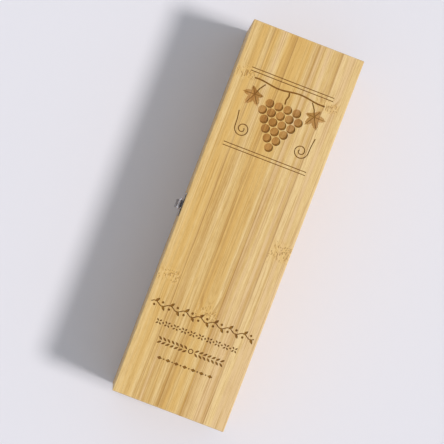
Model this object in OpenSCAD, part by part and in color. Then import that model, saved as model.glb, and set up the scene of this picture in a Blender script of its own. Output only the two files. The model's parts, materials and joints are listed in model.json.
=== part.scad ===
// A pale bamboo gift box for one bottle, lying flat with its lid shut.
// The origin is the centre of the underside. X runs along the box, Z is up, the latch is on
// the -Y side and the hinges are on the +Y side. The carving on the lid has its head at -X.

/* [Box] */
// Outside length
box_length = 355; // [330:1:430]
// Outside width
box_width = 106; // [100:1:130]
// Outside height with the lid shut
box_height = 100; // [96:1:130]
// Thickness of the side and end boards
wall_t = 8; // [6:0.5:9.5]
// Thickness of the top and bottom panels
panel_t = 7; // [5:0.5:8.5]
// Height of the lid's rails, without its panel
rail_h = 15.5; // [13:0.5:24]
// Saw cut that parts the lid from the body
saw_gap = 0.3; // [0.2:0.05:0.6]
// Radius sanded on the outer edges
edge_r = 1.2; // [0.6:0.1:2.5]
// Radius sanded on both edges of the saw cut
arris_r = 0.5; // [0.3:0.1:1]
// Fingers at each corner of the body
body_fingers = 9; // [5:1:13]
// Fingers at each corner of the lid
lid_fingers = 2; // [1:1:4]

/* [Bottle supports] */
// Radius of the bottle's body
bottle_r = 38; // [35:0.5:39]
// Radius of the bottle's neck
neck_r = 15; // [13:0.5:18]
// Clearance round the bottle
bottle_gap = 1; // [0.5:0.25:2]
// Thickness of both support boards
support_t = 8; // [6:0.5:10]
// Wood left under the bottle in the saddle
saddle_floor = 5; // [3:0.5:7]
// Height of the saddle above the inside floor
saddle_h = 23; // [16:1:30]
// Height of the neck rest above the inside floor
neck_rest_h = 55; // [50:1:62]
// Middle of the neck rest, from the inside of the left end
neck_rest_from_end = 74; // [50:1:95]
// Middle of the saddle, from the inside of the right end
saddle_from_end = 80; // [50:1:120]
// Depth of the grooves that hold the support boards
groove_depth = 2; // [1:0.5:3]
// Play of a support board in its groove, each way
groove_gap = 0.1; // [0:0.05:0.3]

/* [Hinges] */
// Width of a hinge
hinge_w = 25; // [20:1:40]
// Height of one hinge leaf, from the axis
hinge_leaf_h = 8.5; // [8:0.5:13]
// Thickness of a hinge leaf
leaf_t = 1; // [0.8:0.1:1.4]
// Radius of a hinge knuckle, which is let into the wood
knuckle_r = 2; // [1.8:0.1:2.6]
// Gap between the knuckles and the wood
knuckle_gap = 0.35; // [0.2:0.05:0.5]
// Width of the lid leaf's knuckle, in the middle
lid_knuckle_w = 10; // [6:0.5:14]
// Radius of the hinge pins
hinge_pin_r = 1; // [0.8:0.05:1.2]
// Middle of each hinge, from the box's end
hinge_from_end = 82; // [40:1:120]
// Angle at which the bevelled back edges halt the lid
lid_open = 100; // [92:1:110]
// Spacing of the two screws in a leaf
hinge_screw_spacing = 16; // [12:1:18]

/* [Latch] */
// Width of the base plate and of the strike plate
plate_w = 22; // [20:0.5:28]
// Thickness of both plates
plate_t = 0.8; // [0.6:0.1:1]
// Height of the base plate
base_plate_h = 16; // [15:0.5:20]
// Height of the strike plate
strike_plate_h = 11; // [10:0.5:12]
// Distance of both plates from the saw cut
plate_from_seam = 2.4; // [2:0.1:4]
// Lever pivot, out from the box's front
pivot_out = 2.9; // [2.8:0.1:3.4]
// Lever pivot, down from the saw cut
pivot_drop = 7.4; // [7:0.1:9]
// Length of the lever below its pivot
lever_length = 18; // [16:0.5:22]
// Width of the lever outside its cheeks
lever_w = 7.9; // [7.5:0.1:9]
// Thickness of the lever's sheet
lever_t = 0.7; // [0.6:0.05:0.9]
// Radius of the lever's pin
lever_pin_r = 0.8; // [0.6:0.05:0.9]
// Radius of the bail's wire
wire_r = 0.7; // [0.6:0.05:0.8]
// Reach of the catch from the box's front
catch_reach = 3.8; // [3.6:0.1:4.2]
// Top of the catch, above the saw cut
catch_rise = 7; // [6:0.5:8]

/* [Screws] */
// Radius of a screw's shank
shank_r = 0.9; // [0.7:0.05:1]
// Radius of a screw's head
head_r = 1.8; // [1.5:0.1:2]
// Length of a screw
screw_length = 6; // [4:0.5:6.5]

/* [Carving] */
// Depth of the carving's broad fills
fill_depth = 0.4; // [0.3:0.05:0.6]
// Depth of the carving's thin lines
line_depth = 0.8; // [0.7:0.05:1]
// Width of the two pairs of rules
rule_length = 79; // [60:1:88]
// Head of the emblem, from the lid's left end
emblem_head = 41; // [30:1:50]
// Foot of the emblem, from the lid's left end
emblem_foot = 115; // [112:1:125]
// Radius of one grape
grape_r = 4; // [3:0.25:4.5]
// First row of small ornament, from the lid's left end
ornament_head = 268; // [200:1:275]
// Spacing of the four rows of small ornament
ornament_pitch = 15; // [11:1:16]

/* [Hidden] */
$fn = 48;

// Colours of the finishes
BAMBOO = "burlywood";
BAMBOO_PALE = "wheat";
NICKEL = "lightsteelblue";
STEEL = "silver";

// A cut runs this far past the face that it opens
over = 1;
// A piece of a solid runs this far into its neighbour
lap = 0.3;
// Facets on a sanded edge
edge_steps = 5;

// Heights, from the underside
lid_bottom = box_height - panel_t - rail_h;
body_top = lid_bottom - saw_gap;
seam_z = (lid_bottom + body_top) / 2;

// Inside of the body
inner_length = box_length - 2 * wall_t;
inner_width = box_width - 2 * wall_t;

// Bottle supports
notch_r = bottle_r + bottle_gap;
neck_notch_r = neck_r + bottle_gap;
bottle_z = panel_t + saddle_floor + notch_r;
neck_rest_x = -inner_length / 2 + neck_rest_from_end;
saddle_x = inner_length / 2 - saddle_from_end;

// Hinges. The knuckles are let into the wood and stand out only a hair from the leaves, so the axis
// lies inside the box's back. The back edges of the saw cut are bevelled from the axis outward, and
// the two bevels meet when the lid is open. A leaf starts where it clears the other knuckles, and
// where it clears the other leaf with the lid open.
knuckle_proud = 0.05;
axis_inset = knuckle_r - knuckle_proud - leaf_t;
hinge_y = box_width / 2 - axis_inset;
hinge_x = box_length / 2 - hinge_from_end;
bevel_ease = 0.5;
bevel_angle = lid_open / 2 + bevel_ease;
leaf_gap = 0.1;
leaf_edge = max(knuckle_r + knuckle_gap, (axis_inset + leaf_t) * tan(lid_open / 2) + leaf_gap);
knuckle_side_gap = 0.15;
pin_fit_gap = 0.01;
running_gap = 0.05;
pin_head_r = 1.5;
pin_head_h = 0.5;
hinge_screw_drop = (leaf_edge + hinge_leaf_h) / 2;

// Latch, as places out from the box's front and up from the saw cut. The bail's pivot lies inside
// the line from the bar to the lever's pivot, so that a pull on the bail holds the lever shut.
pivot = [pivot_out, -pivot_drop];
over_centre = 0.6;
bail_drop = 4.7;
bail_pivot = pivot - [over_centre, bail_drop];
catch_gap = 0.2;
bar_inset = 0.8;
bar = [catch_reach - bar_inset, catch_rise + catch_gap + wire_r];
ear_r = 1.5;
ear_t = 0.9;
ear_gap = 0.1;
ear_flare = 0.6;
cheek_top_r = 1.7;
cheek_low_r = 1.3;
cheek_tail = 5.5;
lever_face_in = ear_r + ear_gap;
lever_face_top = -0.5;
lip_h = 4;
lip_out = 1.1;
wire_side_gap = 0.15;
arm_x = lever_w / 2 + wire_side_gap + wire_r;
stub_bend_r = arm_x - lever_w / 2 - running_gap;
bar_bend_r = 1.6;
bail_length = norm(bar - bail_pivot);
bail_tilt = atan((bar[0] - bail_pivot[0]) / (bar[1] - bail_pivot[1]));
catch_w = 2 * (arm_x - bar_bend_r);
catch_t = 0.9;
catch_gusset = 3;
plate_corner_r = 2;
plate_screw_inset = 2.7;
plate_screw_x = plate_w / 2 - plate_screw_inset;
base_screw_z = -plate_from_seam - base_plate_h / 2;
strike_screw_z = plate_from_seam + strike_plate_h / 2;

// Screws
head_h = head_r - shank_r;
screw_tip = 1.5;
screw_gap = 0.03;
slot_w = 0.5;
slot_depth = 0.45;
slot_reach = 0.6 * head_r;

// Points of an arc round c, from angle a0 to angle a1 in n steps
function arc(c, r, a0, a1, n) =
    [for (i = [0:n]) let (a = a0 + (a1 - a0) * i / n) c + r * [cos(a), sin(a)]];

// Outline of a rectangle from y0 to y1 with round corners, r_low below and r_high above
function soft_rect(w, y0, y1, r_low, r_high) = concat(
    arc([w / 2 - r_low, y0 + r_low], r_low, -90, 0, edge_steps),
    arc([w / 2 - r_high, y1 - r_high], r_high, 0, 90, edge_steps),
    arc([-w / 2 + r_high, y1 - r_high], r_high, 90, 180, edge_steps),
    arc([-w / 2 + r_low, y0 + r_low], r_low, 180, 270, edge_steps));

// The block that a sanded body or lid fills from z0 to z1
module sanded_block(z0, z1, r_low, r_high) {
    intersection() {
        translate([0, 0, z0])
            linear_extrude(z1 - z0)
                polygon(soft_rect(box_length, -box_width / 2, box_width / 2, edge_r, edge_r));
        rotate([90, 0, 0])
            linear_extrude(box_width + 2 * over, center = true)
                polygon(soft_rect(box_length, z0, z1, r_low, r_high));
        rotate([90, 0, 90])
            linear_extrude(box_length + 2 * over, center = true)
                polygon(soft_rect(box_width, z0, z1, r_low, r_high));
    }
}

// The bevels on both back edges of the saw cut, which meet on the hinge axis
module seam_bevel() {
    reach = axis_inset + over;
    rise = reach * tan(bevel_angle);
    translate([-box_length / 2 - over, hinge_y, seam_z])
        rotate([90, 0, 90])
            linear_extrude(box_length + 2 * over)
                polygon([[0, 0], [reach, -rise], [reach, rise]]);
}

module body_block() {
    difference() {
        sanded_block(0, body_top, edge_r, arris_r);
        seam_bevel();
    }
}

module lid_block() {
    difference() {
        sanded_block(lid_bottom, box_height, arris_r, edge_r);
        seam_bevel();
    }
}

// A long board on the front (side -1) or the back (side 1). It holds the even fingers.
module long_board(side, z0, z1, fingers, first) {
    finger_h = (z1 - z0) / fingers;
    y0 = side > 0 ? box_width / 2 - wall_t : -box_width / 2;
    translate([-inner_length / 2, y0, z0]) cube([inner_length, wall_t, z1 - z0]);
    for (i = [0:fingers - 1])
        if ((first + i) % 2 == 0)
            translate([-box_length / 2, y0, z0 + i * finger_h]) cube([box_length, wall_t, finger_h]);
}

// An end board on the left (side -1) or the right (side 1). It holds the odd fingers.
module end_board(side, z0, z1, fingers, first) {
    finger_h = (z1 - z0) / fingers;
    x0 = side > 0 ? box_length / 2 - wall_t : -box_length / 2;
    translate([x0, -inner_width / 2, z0]) cube([wall_t, inner_width, z1 - z0]);
    for (i = [0:fingers - 1])
        if ((first + i) % 2 == 1)
            translate([x0, -box_width / 2, z0 + i * finger_h]) cube([wall_t, box_width, finger_h]);
}

// A screw with its head's face at z = 0, pointing down. A gap makes it the hole for one.
module screw_shape(gap) {
    rotate_extrude()
        polygon([
            [0, gap],
            [head_r + gap, gap],
            [head_r + gap, 0],
            [shank_r + gap, -head_h],
            [shank_r + gap, -screw_length + screw_tip],
            [0, -screw_length - gap]]);
}

module screw() {
    difference() {
        rotate_extrude()
            polygon([
                [0, 0],
                [head_r, 0],
                [shank_r, -head_h],
                [shank_r, -screw_length + screw_tip],
                [0, -screw_length]]);
        for (turn = [0, 90])
            rotate([0, 0, turn])
                translate([-slot_reach, -slot_w / 2, -slot_depth])
                    cube([2 * slot_reach, slot_w, slot_depth + over]);
    }
}

// Hinges: children are drawn about the axis of the hinge on one side
module at_hinge(side) {
    translate([side * hinge_x, hinge_y, seam_z]) children();
}

// A round bar along X from x0 to x1
module x_bar(x0, x1, r) {
    translate([x0, 0, 0]) rotate([0, 90, 0]) cylinder(h = x1 - x0, r = r);
}

// Room in the wood for the knuckles, the pins' heads and the roots of the leaves
module hinge_mortises() {
    half_w = hinge_w / 2 + running_gap + pin_head_h + knuckle_gap;
    half_h = leaf_edge + leaf_gap;
    for (side = [-1, 1])
        at_hinge(side) {
            x_bar(-half_w, half_w, knuckle_r + knuckle_gap);
            translate([-half_w, 0, -half_h]) cube([2 * half_w, axis_inset + over, 2 * half_h]);
        }
}

// Puts its children on the outer face of the hinge leaves, at the screws above or below the axis
module at_hinge_screws(up) {
    for (hinge = [-1, 1], side = [-1, 1])
        translate([
            hinge * hinge_x + side * hinge_screw_spacing / 2,
            box_width / 2 + leaf_t,
            seam_z + up * hinge_screw_drop])
            rotate([-90, 0, 0])
                children();
}

// Puts its children on the face of a latch plate, at its two screws
module at_plate_screws(z) {
    for (side = [-1, 1])
        translate([side * plate_screw_x, -box_width / 2 - plate_t, seam_z + z])
            rotate([90, 0, 0])
                children();
}

// Grooves in a long wall for both support boards
module support_grooves(side) {
    cut = groove_depth + over;
    y = side * (inner_width / 2 + groove_depth - cut / 2);
    for (support = [[neck_rest_x, neck_rest_h], [saddle_x, saddle_h]])
        translate([support[0], y, panel_t + support[1] / 2])
            cube([support_t + 2 * groove_gap, cut, support[1] + 2 * groove_gap], center = true);
}

// Body boards
module bottom_panel() {
    color(BAMBOO)
        intersection() {
            translate([-box_length / 2, -box_width / 2, 0]) cube([box_length, box_width, panel_t]);
            body_block();
        }
}

module front_wall() {
    color(BAMBOO_PALE)
        difference() {
            intersection() {
                long_board(-1, panel_t, body_top, body_fingers, 0);
                body_block();
            }
            support_grooves(-1);
            at_plate_screws(base_screw_z) screw_shape(screw_gap);
        }
}

module back_wall() {
    color(BAMBOO_PALE)
        difference() {
            intersection() {
                long_board(1, panel_t, body_top, body_fingers, 0);
                body_block();
            }
            support_grooves(1);
            hinge_mortises();
            at_hinge_screws(-1) screw_shape(screw_gap);
        }
}

module body_end(side) {
    color(BAMBOO)
        intersection() {
            end_board(side, panel_t, body_top, body_fingers, 0);
            body_block();
        }
}

module left_end() {
    body_end(-1);
}

module right_end() {
    body_end(1);
}

// A cross board of the given height, tongued into the grooves of both walls
module support_board(x, h) {
    tongue = groove_depth - groove_gap;
    translate([x - support_t / 2, -inner_width / 2 - tongue, panel_t])
        cube([support_t, inner_width + 2 * tongue, h]);
}

module neck_rest() {
    color(BAMBOO_PALE)
        difference() {
            support_board(neck_rest_x, neck_rest_h);
            translate([neck_rest_x, 0, bottle_z])
                rotate([0, 90, 0])
                    cylinder(h = support_t + 2 * over, r = neck_notch_r, center = true);
            translate([neck_rest_x - support_t / 2 - over, -neck_notch_r, bottle_z])
                cube([support_t + 2 * over, 2 * neck_notch_r, neck_rest_h]);
        }
}

module bottle_saddle() {
    color(BAMBOO_PALE)
        difference() {
            support_board(saddle_x, saddle_h);
            translate([saddle_x, 0, bottle_z])
                rotate([0, 90, 0])
                    cylinder(h = support_t + 2 * over, r = notch_r, center = true, $fn = 96);
        }
}

// Carving: a pointed petal from the origin along +X
module petal(length, width) {
    n = 5;
    polygon(concat(
        [for (i = [0:n]) [length * i / n, width / 2 * sin(180 * i / n)]],
        [for (i = [n - 1:-1:1]) [length * i / n, -width / 2 * sin(180 * i / n)]]));
}

// Carving: the lobes of a vine leaf, each as its direction from the tip and its share of the reach
LOBES = [[0, 1], [60, 0.9], [-60, 0.9], [122, 0.68], [-122, 0.68]];

// Carving: a vine leaf round its middle with its tip along +X, toothed on every other point
module vine_leaf(r) {
    step = 6;
    lobe_half = 30;
    fall = 0.5;
    deepest = 0.65;
    between_teeth = 0.92;
    polygon([for (i = [0:360 / step - 1])
        let (
            a = i * step - 180,
            lobe = max([for (l = LOBES)
                let (off = min(abs(a - l[0]), 360 - abs(a - l[0])))
                l[1] * (1 - min(fall * off / lobe_half, deepest))]),
            tooth = i % 2 == 0 ? 1 : between_teeth)
        r * lobe * tooth * [cos(a), sin(a)]]);
}

// Carving: a line of width w through the points of a path
module stroke(path, w) {
    last = len(path) - 1;
    normals = [for (i = [0:last])
        let (along = path[min(i + 1, last)] - path[max(i - 1, 0)])
        [-along[1], along[0]] / norm(along)];
    polygon(concat(
        [for (i = [0:last]) path[i] + normals[i] * w / 2],
        [for (i = [last:-1:0]) path[i] - normals[i] * w / 2]));
}

// Carving: cuts a flat figure to a depth in the lid's top
module engrave(depth) {
    translate([0, 0, -depth]) linear_extrude(depth + over) children();
}

// Puts a figure on the lid's top, v from its left end, upright when the latch is on the left
module on_lid(v) {
    translate([-box_length / 2 + v, 0, box_height]) rotate([0, 0, 90]) children();
}

// Carving: the bunch of grapes, each a shallow disc with a deep crescent on its shaded side
module grape_bunch() {
    rows = [4, 5, 4, 3, 2, 1];
    between = 0.6;
    pitch = 2 * grape_r + between;
    shade = 0.35 * grape_r;
    for (row = [0:len(rows) - 1], i = [0:rows[row] - 1])
        translate([(i - (rows[row] - 1) / 2) * pitch, -row * pitch * sin(60)]) {
            engrave(fill_depth) circle(r = grape_r);
            difference() {
                engrave(line_depth) circle(r = grape_r);
                translate([-shade, shade, -line_depth - over])
                    cylinder(h = line_depth + 2 * over, r = grape_r);
            }
        }
}

// Carving: a vine leaf with deep veins and a stalk, its tip turned by an angle
module carved_leaf(r, turn, stalk) {
    vein_w = 0.7;
    vein_share = 0.8;
    stalk_w = 1.1;
    stalk_bow = 0.8;
    rotate([0, 0, turn]) {
        engrave(fill_depth) vine_leaf(r);
        engrave(line_depth)
            for (l = LOBES)
                rotate(l[0]) translate([0, -vein_w / 2]) square([r * l[1] * vein_share, vein_w]);
        engrave(line_depth) stroke([[0, 0], [-stalk / 2, stalk_bow], [-stalk, 0]], stalk_w);
    }
}

// Carving: a tendril of radius r that hangs on a tail and curls inward
module tendril(r, turns, tail) {
    steps = 34;
    tendril_w = 0.9;
    tail_lean = 1.5;
    tail_bow = 0.4;
    curled_share = 0.8;
    engrave(line_depth)
        stroke(concat(
            [[r + tail_lean, tail], [r + tail_bow, tail / 2]],
            [for (i = [0:steps])
                let (a = -360 * turns * i / steps)
                r * (1 - curled_share * i / steps) * [cos(a), sin(a)]]), tendril_w);
}

// Carving: a bunch of grapes under a cane with a leaf and a tendril on each side, between paired rules
module emblem() {
    half_h = (emblem_foot - emblem_head) / 2;
    rule_w = 0.8;
    rule_gap = 3;
    cane_half = 34;
    cane_y = half_h - 9;
    cane_w = 1.5;
    cane_wave = 1.1;
    waves_turn = 9;
    stem_w = 1.4;
    stem_bow = [0.8, -0.4];
    stem_step = 4;
    bunch_y = half_h - 25;
    leaf_r = 12.5;
    leaf_place = [28.5, half_h - 22];
    leaf_turn = -62;
    leaf_stalk = 13;
    tendril_r = 7;
    tendril_place = [28, 19 - half_h];
    tendril_turns = 1.6;
    tendril_tail = 15;
    on_lid(emblem_head + half_h) {
        for (y = [-half_h, -half_h + rule_gap, half_h - rule_gap, half_h])
            translate([0, y]) engrave(line_depth) square([rule_length, rule_w], center = true);
        engrave(line_depth)
            stroke([
                for (x = [-cane_half:2:cane_half])
                    [x, cane_y + cane_wave * sin(waves_turn * x)]], cane_w);
        engrave(line_depth)
            stroke([
                [0, cane_y],
                [stem_bow[0], cane_y - stem_step],
                [stem_bow[1], cane_y - 2 * stem_step],
                [0, bunch_y + grape_r]], stem_w);
        translate([0, bunch_y]) grape_bunch();
        for (side = [0, 1])
            mirror([side, 0, 0]) {
                translate(leaf_place) carved_leaf(leaf_r, leaf_turn, leaf_stalk);
                translate(tendril_place) tendril(tendril_r, tendril_turns, tendril_tail);
            }
    }
}

// Carving: a waving vine with a petal in each bend and a berry opposite
module garland(bends, pitch) {
    vine_w = 0.9;
    wave = 1.6;
    steps = 6;
    petal_size = [5.4, 2.5];
    petal_turn = 52;
    petal_rise = 0.64;
    berry_r = 1.1;
    berry_drop = 2.7;
    engrave(line_depth)
        stroke([for (i = [0:bends * steps])
            [(i / steps - bends / 2) * pitch, wave * sin(180 * i / steps)]], vine_w);
    for (bend = [0:bends - 1]) {
        side = bend % 2 == 0 ? 1 : -1;
        translate([(bend + 0.5 - bends / 2) * pitch, side * petal_rise]) {
            engrave(line_depth) rotate(side * petal_turn) petal(petal_size[0], petal_size[1]);
            translate([0, -side * berry_drop]) engrave(line_depth) circle(r = berry_r, $fn = 24);
        }
    }
}

// Carving: a row of four-petalled rosettes with a bead between each pair
module rosette_row(rosettes, pitch) {
    petal_size = [2.9, 1.5];
    petal_start = 0.5;
    bead_r = 0.8;
    for (i = [0:rosettes - 1], quarter = [45:90:315])
        translate([(i - (rosettes - 1) / 2) * pitch, 0])
            rotate(quarter)
                translate([petal_start, 0]) engrave(line_depth) petal(petal_size[0], petal_size[1]);
    for (i = [0:rosettes - 2])
        translate([(i + 1 - rosettes / 2) * pitch, 0]) engrave(line_depth) circle(r = bead_r, $fn = 24);
}

// Carving: a row of lozenges with a bead between each pair
module lozenge_row(lozenges, pitch) {
    half = [2.4, 1.6];
    bead_r = 0.7;
    for (i = [0:lozenges - 1])
        translate([(i - (lozenges - 1) / 2) * pitch, 0])
            engrave(line_depth) polygon([[-half[0], 0], [0, -half[1]], [half[0], 0], [0, half[1]]]);
    for (i = [0:lozenges - 2])
        translate([(i + 1 - lozenges / 2) * pitch, 0]) engrave(line_depth) circle(r = bead_r, $fn = 24);
}

// Carving: two sprays of paired petals that lead away from a middle ring
module spray(pairs, pitch) {
    ring_r = 2.4;
    ring_w = 0.9;
    petal_size = [4.6, 1.9];
    petal_turn = 38;
    petal_out = 1.2;
    petal_rise = 0.4;
    engrave(line_depth)
        difference() {
            circle(r = ring_r);
            circle(r = ring_r - ring_w);
        }
    for (side = [0, 1], i = [0:pairs - 1], lean = [-1, 1])
        mirror([side, 0, 0])
            translate([ring_r + petal_out + i * pitch, lean * petal_rise])
                engrave(line_depth) rotate(lean * petal_turn) petal(petal_size[0], petal_size[1]);
}

module lid_panel() {
    color(BAMBOO)
        difference() {
            intersection() {
                translate([-box_length / 2, -box_width / 2, box_height - panel_t])
                    cube([box_length, box_width, panel_t]);
                lid_block();
            }
            emblem();
            on_lid(ornament_head) garland(bends = 14, pitch = 7);
            on_lid(ornament_head + ornament_pitch) rosette_row(rosettes = 10, pitch = 8);
            on_lid(ornament_head + 2 * ornament_pitch) spray(pairs = 7, pitch = 4);
            on_lid(ornament_head + 3 * ornament_pitch) lozenge_row(lozenges = 7, pitch = 8);
        }
}

// Lid rails
module lid_front_rail() {
    color(BAMBOO_PALE)
        difference() {
            intersection() {
                long_board(-1, lid_bottom, lid_bottom + rail_h, lid_fingers, body_fingers);
                lid_block();
            }
            at_plate_screws(strike_screw_z) screw_shape(screw_gap);
        }
}

module lid_back_rail() {
    color(BAMBOO_PALE)
        difference() {
            intersection() {
                long_board(1, lid_bottom, lid_bottom + rail_h, lid_fingers, body_fingers);
                lid_block();
            }
            hinge_mortises();
            at_hinge_screws(1) screw_shape(screw_gap);
        }
}

module lid_end_rail(side) {
    color(BAMBOO)
        intersection() {
            end_board(side, lid_bottom, lid_bottom + rail_h, lid_fingers, body_fingers);
            lid_block();
        }
}

module lid_left_rail() {
    lid_end_rail(-1);
}

module lid_right_rail() {
    lid_end_rail(1);
}

// A flat piece of hinge leaf between two distances from the axis, up (1) or down (-1)
module leaf_flat(up, x0, x1, near, far) {
    translate([x0, axis_inset, up > 0 ? near : -far]) cube([x1 - x0, leaf_t, far - near]);
}

// A hinge leaf with its knuckles, each given by its two ends
module hinge_leaf(side, up, knuckles, bore_r) {
    color(NICKEL)
        difference() {
            at_hinge(side)
                difference() {
                    union() {
                        leaf_flat(up, -hinge_w / 2, hinge_w / 2, leaf_edge, hinge_leaf_h);
                        for (knuckle = knuckles) {
                            leaf_flat(up, knuckle[0], knuckle[1], 0, leaf_edge + lap);
                            x_bar(knuckle[0], knuckle[1], knuckle_r);
                        }
                    }
                    x_bar(-hinge_w, hinge_w, bore_r);
                }
            at_hinge_screws(up) screw_shape(screw_gap);
        }
}

module hinge_body_leaf(side) {
    inner = lid_knuckle_w / 2 + knuckle_side_gap;
    outer = hinge_w / 2;
    hinge_leaf(side, -1, [[-outer, -inner], [inner, outer]], hinge_pin_r + pin_fit_gap);
}

module hinge_lid_leaf(side) {
    hinge_leaf(side, 1, [[-lid_knuckle_w / 2, lid_knuckle_w / 2]], hinge_pin_r + running_gap);
}

module hinge_pin(side) {
    head_x = hinge_w / 2 + running_gap;
    color(STEEL)
        at_hinge(side) {
            x_bar(-head_x - pin_head_h, head_x + pin_head_h, hinge_pin_r);
            x_bar(-head_x - pin_head_h, -head_x, pin_head_r);
            x_bar(head_x, head_x + pin_head_h, pin_head_r);
        }
}

module left_hinge_body_leaf() {
    hinge_body_leaf(-1);
}

module left_hinge_lid_leaf() {
    hinge_lid_leaf(-1);
}

module left_hinge_pin() {
    hinge_pin(-1);
}

module right_hinge_body_leaf() {
    hinge_body_leaf(1);
}

module right_hinge_lid_leaf() {
    hinge_lid_leaf(1);
}

module right_hinge_pin() {
    hinge_pin(1);
}

module hinge_body_screws() {
    color(STEEL) at_hinge_screws(-1) screw();
}

module hinge_lid_screws() {
    color(STEEL) at_hinge_screws(1) screw();
}

// Latch: extrudes a side outline, out from the front and up from the saw cut, from x0 to x1
module latch_side(x0, x1) {
    translate([x0, -box_width / 2, seam_z])
        mirror([0, 1, 0])
            rotate([90, 0, 90])
                linear_extrude(x1 - x0)
                    children();
}

// Latch: a round bar along X through a place of the side outline
module latch_bar(place, x0, x1, r) {
    translate([0, -box_width / 2 - place[0], seam_z + place[1]]) x_bar(x0, x1, r);
}

// Latch: a plate on the box's front, from z0 to z1 above the saw cut
module latch_plate(z0, z1) {
    translate([0, -box_width / 2, seam_z])
        rotate([90, 0, 0])
            linear_extrude(plate_t)
                polygon(soft_rect(plate_w, z0, z1, plate_corner_r, plate_corner_r));
}

module latch_base() {
    ear_out_x = lever_w / 2 - lever_t - ear_gap;
    color(NICKEL)
        difference() {
            union() {
                latch_plate(-plate_from_seam - base_plate_h, -plate_from_seam);
                for (x0 = [-ear_out_x, ear_out_x - ear_t])
                    latch_side(x0, x0 + ear_t)
                        polygon(concat(
                            arc(pivot, ear_r, -90, 90, 8),
                            [pivot + [plate_t - lap - pivot_out, ear_r + ear_flare]],
                            [pivot + [plate_t - lap - pivot_out, -ear_r - ear_flare]]));
            }
            latch_bar(pivot, -plate_w, plate_w, lever_pin_r + running_gap);
            at_plate_screws(base_screw_z) screw_shape(screw_gap);
        }
}

module latch_base_screws() {
    color(STEEL) at_plate_screws(base_screw_z) screw();
}

module latch_lever() {
    half = lever_w / 2;
    face_out = lever_face_in + lever_t;
    cheek_foot = bail_pivot[1] - pivot[1] - cheek_low_r - cheek_tail;
    color(NICKEL)
        difference() {
            union() {
                for (x0 = [-half, half - lever_t])
                    latch_side(x0, x0 + lever_t)
                        polygon(concat(
                            arc(pivot, cheek_top_r, 0, 190, 10),
                            arc(bail_pivot, cheek_low_r, 180, 280, 6),
                            [pivot + [face_out - lap, cheek_foot]],
                            [pivot + [face_out - lap, lever_face_top]]));
                latch_side(-half, half)
                    polygon([
                        pivot + [lever_face_in, lever_face_top],
                        pivot + [lever_face_in, -lever_length + lip_h],
                        pivot + [lever_face_in + lip_out, -lever_length],
                        pivot + [face_out + lip_out, -lever_length],
                        pivot + [face_out, -lever_length + lip_h],
                        pivot + [face_out, lever_face_top]]);
            }
            latch_bar(pivot, -plate_w, plate_w, lever_pin_r + pin_fit_gap);
            latch_bar(bail_pivot, -plate_w, plate_w, wire_r + running_gap);
        }
}

module lever_pin() {
    color(STEEL) latch_bar(pivot, -lever_w / 2, lever_w / 2, lever_pin_r);
}

// A quarter bend of the bail's wire about the origin, in the XZ plane, from an angle onward
module wire_bend(r, from_angle) {
    rotate([90, 0, 0])
        rotate([0, 0, from_angle])
            rotate_extrude(angle = 90)
                translate([r, 0])
                    circle(r = wire_r);
}

// Half of the bail in its own plane: the stub in the lever, a bend, the arm, a bend and half the bar
module bail_half() {
    stub_in = lever_w / 2 - lever_t - lap;
    x_bar(stub_in, arm_x - stub_bend_r, wire_r);
    translate([arm_x - stub_bend_r, 0, stub_bend_r]) wire_bend(stub_bend_r, -90);
    translate([arm_x, 0, stub_bend_r])
        cylinder(h = bail_length - stub_bend_r - bar_bend_r, r = wire_r);
    translate([arm_x - bar_bend_r, 0, bail_length - bar_bend_r]) wire_bend(bar_bend_r, 0);
    translate([0, 0, bail_length]) x_bar(-lap, arm_x - bar_bend_r, wire_r);
}

module latch_bail() {
    color(NICKEL)
        translate([0, -box_width / 2 - bail_pivot[0], seam_z + bail_pivot[1]])
            rotate([bail_tilt, 0, 0]) {
                bail_half();
                mirror([1, 0, 0]) bail_half();
            }
}

module strike_plate() {
    color(NICKEL)
        difference() {
            union() {
                latch_plate(plate_from_seam, plate_from_seam + strike_plate_h);
                latch_side(-catch_w / 2, catch_w / 2)
                    polygon([
                        [plate_t - lap, catch_rise],
                        [catch_reach, catch_rise],
                        [catch_reach, catch_rise - catch_t],
                        [plate_t - lap, catch_rise - catch_gusset]]);
            }
            at_plate_screws(strike_screw_z) screw_shape(screw_gap);
        }
}

module strike_screws() {
    color(STEEL) at_plate_screws(strike_screw_z) screw();
}

bottom_panel();
front_wall();
back_wall();
left_end();
right_end();
neck_rest();
bottle_saddle();
lid_panel();
lid_front_rail();
lid_back_rail();
lid_left_rail();
lid_right_rail();
left_hinge_body_leaf();
left_hinge_lid_leaf();
left_hinge_pin();
right_hinge_body_leaf();
right_hinge_lid_leaf();
right_hinge_pin();
hinge_body_screws();
hinge_lid_screws();
latch_base();
latch_base_screws();
latch_lever();
lever_pin();
latch_bail();
strike_plate();
strike_screws();
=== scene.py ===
import json
import math

import bmesh
import bpy
from mathutils import Matrix, Vector


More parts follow.
